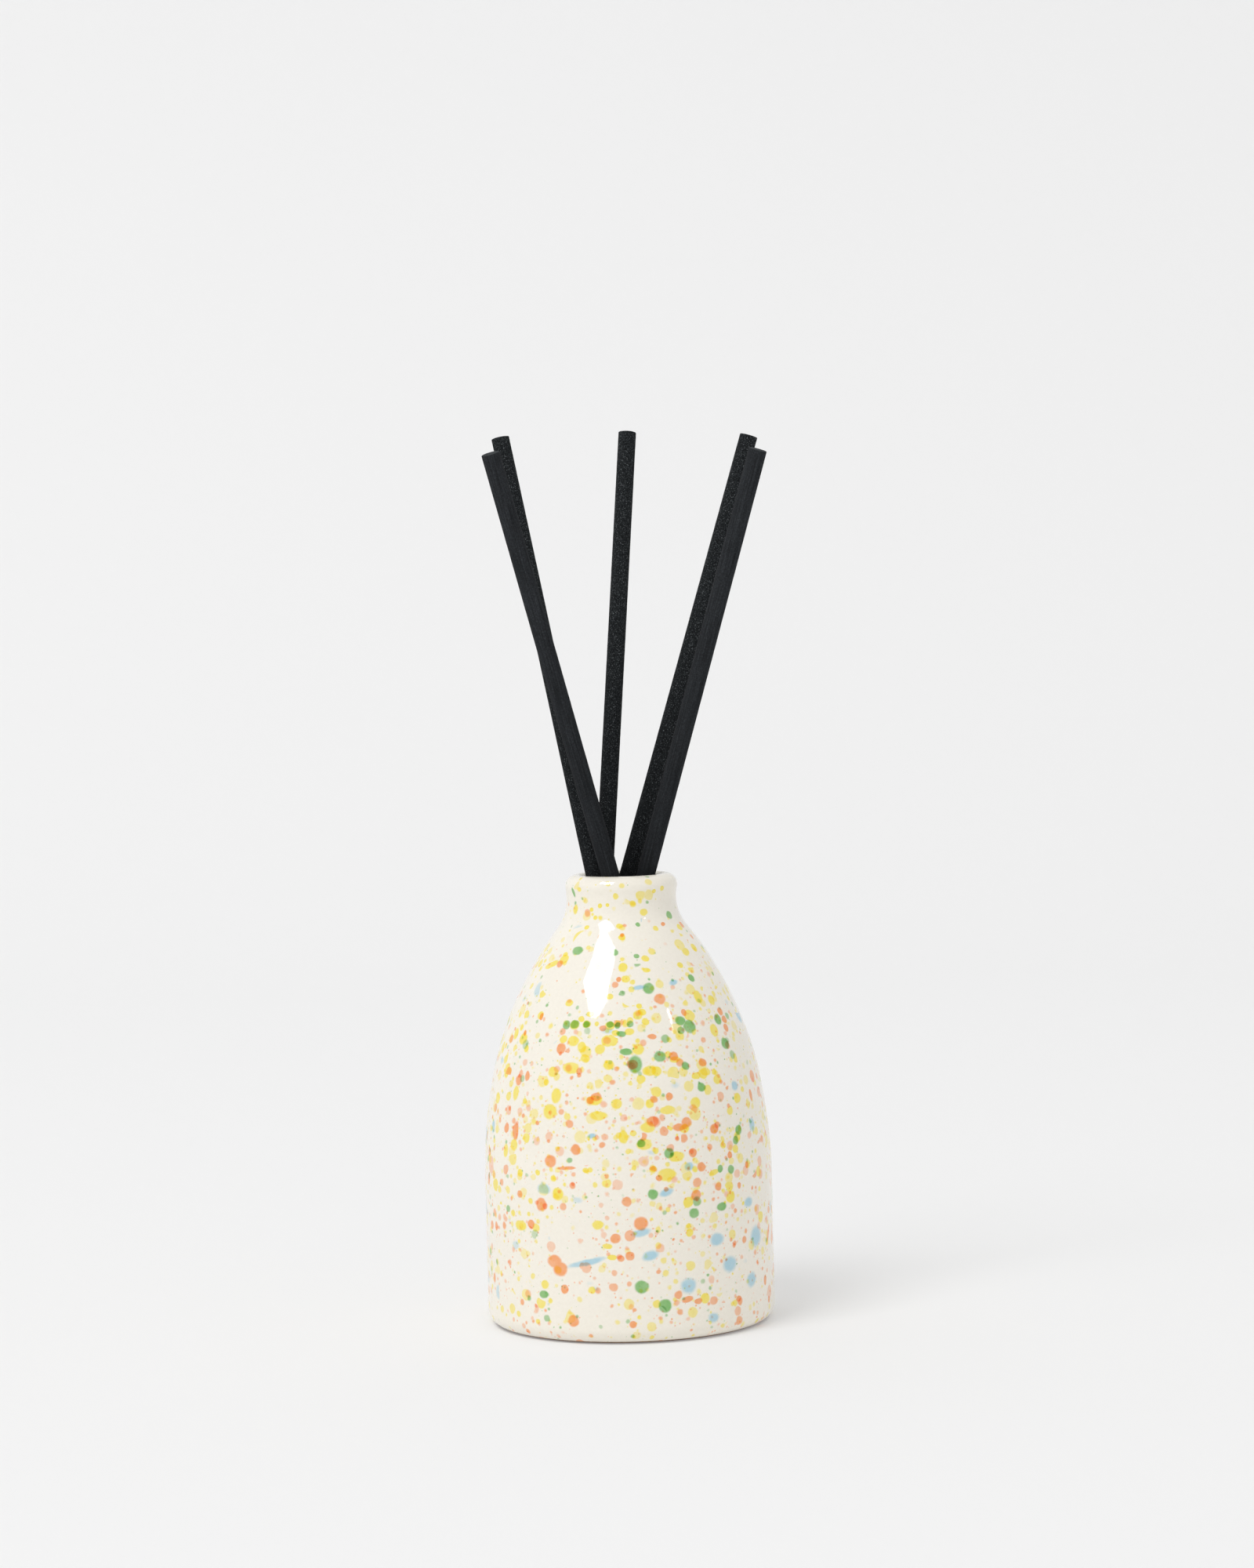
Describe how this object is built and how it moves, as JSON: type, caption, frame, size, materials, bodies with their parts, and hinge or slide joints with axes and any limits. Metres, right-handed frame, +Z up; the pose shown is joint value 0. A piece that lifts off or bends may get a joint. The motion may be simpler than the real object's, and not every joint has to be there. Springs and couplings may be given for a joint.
{
  "type": "reed diffuser",
  "caption": "Home fragrance reed diffuser: a splatter-glazed ceramic bottle with a rolled lip, scented oil inside and loose black fibre reeds fanning from its mouth.",
  "frame": {"origin": "on the bottle's axis, in the plane that its foot ring stands on", "axes": "+Z up along the bottle's axis, front towards -Y, +X to the right seen from the front"},
  "size_m": [0.0668, 0.065, 0.2012],
  "materials": {
    "glaze": "glossy cream glaze with a fine multicolour splatter",
    "oil": "clear pale amber liquid",
    "reed_fibre": "matte bonded polyester fibre"
  },
  "bodies": {
    "bottle": {"vessel": "glaze", "fragrance_oil": "oil"},
    "reed_centre_body": {"reed_centre": "reed_fibre"},
    "reed_back_left_body": {"reed_back_left": "reed_fibre"},
    "reed_front_left_body": {"reed_front_left": "reed_fibre"},
    "reed_back_right_body": {"reed_back_right": "reed_fibre"},
    "reed_front_right_body": {"reed_front_right": "reed_fibre"}
  },
  "joints": [
    {"name": "lift_centre", "type": "slide", "parent": "bottle", "child": "reed_centre_body", "axis": [0.076, 0.1794, 0.9808], "range_m": [0, 0.105]},
    {"name": "lift_back_left", "type": "slide", "parent": "bottle", "child": "reed_back_left_body", "axis": [-0.1873, 0.1153, 0.9755], "range_m": [0, 0.105]},
    {"name": "lift_front_left", "type": "slide", "parent": "bottle", "child": "reed_front_left_body", "axis": [-0.2403, -0.1964, 0.9506], "range_m": [0, 0.105]},
    {"name": "lift_back_right", "type": "slide", "parent": "bottle", "child": "reed_back_right_body", "axis": [0.2887, 0.0521, 0.956], "range_m": [0, 0.105]},
    {"name": "lift_front_right", "type": "slide", "parent": "bottle", "child": "reed_front_right_body", "axis": [0.2704, -0.1599, 0.9494], "range_m": [0, 0.105]}
  ]
}
